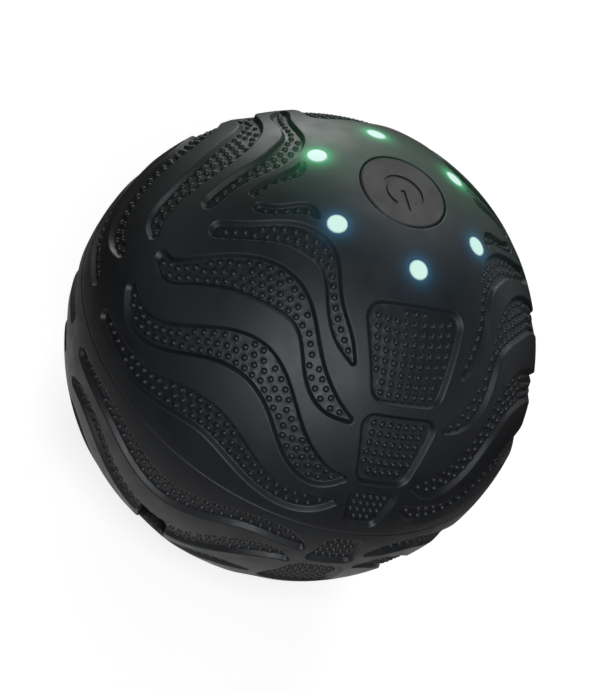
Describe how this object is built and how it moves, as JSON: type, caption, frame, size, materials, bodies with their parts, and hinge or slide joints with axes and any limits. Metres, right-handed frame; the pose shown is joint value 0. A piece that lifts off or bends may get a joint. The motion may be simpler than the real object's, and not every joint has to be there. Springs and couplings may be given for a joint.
{
  "type": "massage ball",
  "caption": "Vibrating massage ball: silicone-skinned sphere with a moulded dotted tread, a power button and light windows at the pole, an inner motor with weights and a charging port.",
  "frame": {"origin": "centre of the ball", "axes": "+Z from the centre of the ball through the power button; -Y towards the side with the charging port; +X completes a right-handed frame, and the motor and the cell lie along it"},
  "size_m": [0.095, 0.095, 0.0941],
  "materials": {
    "skin_silicone": "matte",
    "shell_plastic": "matte",
    "button_plastic": "satin",
    "light_plastic": "translucent, frosted",
    "led_lens": "gloss",
    "board_laminate": "satin",
    "chip_plastic": "matte",
    "socket_plastic": "satin",
    "steel": "satin",
    "zinc_screw": "satin",
    "nickel": "satin",
    "brass": "satin",
    "copper": "gloss enamel",
    "ferrite": "matte",
    "weight_alloy": "satin",
    "cell_sleeve": "gloss",
    "chassis_plastic": "matte",
    "foam": "closed-cell foam",
    "black_rubber": "matte",
    "carbon": "matte",
    "cap_plastic": "satin"
  },
  "bodies": {
    "ball": {"upper_skin": "skin_silicone", "lower_skin": "skin_silicone", "upper_shell": "shell_plastic", "lower_shell": "shell_plastic", "seam_gasket": "black_rubber", "shell_screws": "zinc_screw", "light_guide": "light_plastic", "leds": "led_lens", "control_board": "board_laminate", "board_screws": "zinc_screw", "switch_body": "chip_plastic", "main_chip": "chip_plastic", "lead_sockets": "socket_plastic", "battery_cell": "cell_sleeve", "battery_tabs": "nickel", "battery_pads": "foam", "chassis": "chassis_plastic", "chassis_screws": "zinc_screw", "motor_clamp": "chassis_plastic", "clamp_screws": "zinc_screw", "motor_dampers": "black_rubber", "motor_can": "steel", "motor_end_cap": "cap_plastic", "motor_terminals": "brass", "motor_bushings": "brass", "motor_magnets": "ferrite", "motor_brushes": "carbon", "charge_board": "board_laminate", "charge_screws": "zinc_screw", "charge_parts": "chip_plastic", "port_insert": "shell_plastic", "usb_shell": "nickel", "usb_tongue": "chip_plastic"},
    "button": {"power_button": "button_plastic", "switch_plunger": "chip_plastic"},
    "rotor": {"motor_shaft": "steel", "armature_core": "steel", "armature_windings": "copper", "commutator": "brass", "eccentric_weights": "weight_alloy"}
  },
  "joints": [
    {"name": "button_press", "type": "slide", "parent": "ball", "child": "button", "axis": [0, 0, -1], "range_m": [0, 0.0005], "stiffness_N_per_m": 3000},
    {"name": "rotor_spin", "type": "hinge", "parent": "ball", "child": "rotor", "pos_m": [0, 0, 0.01], "axis": [1, 0, 0], "continuous": true}
  ]
}
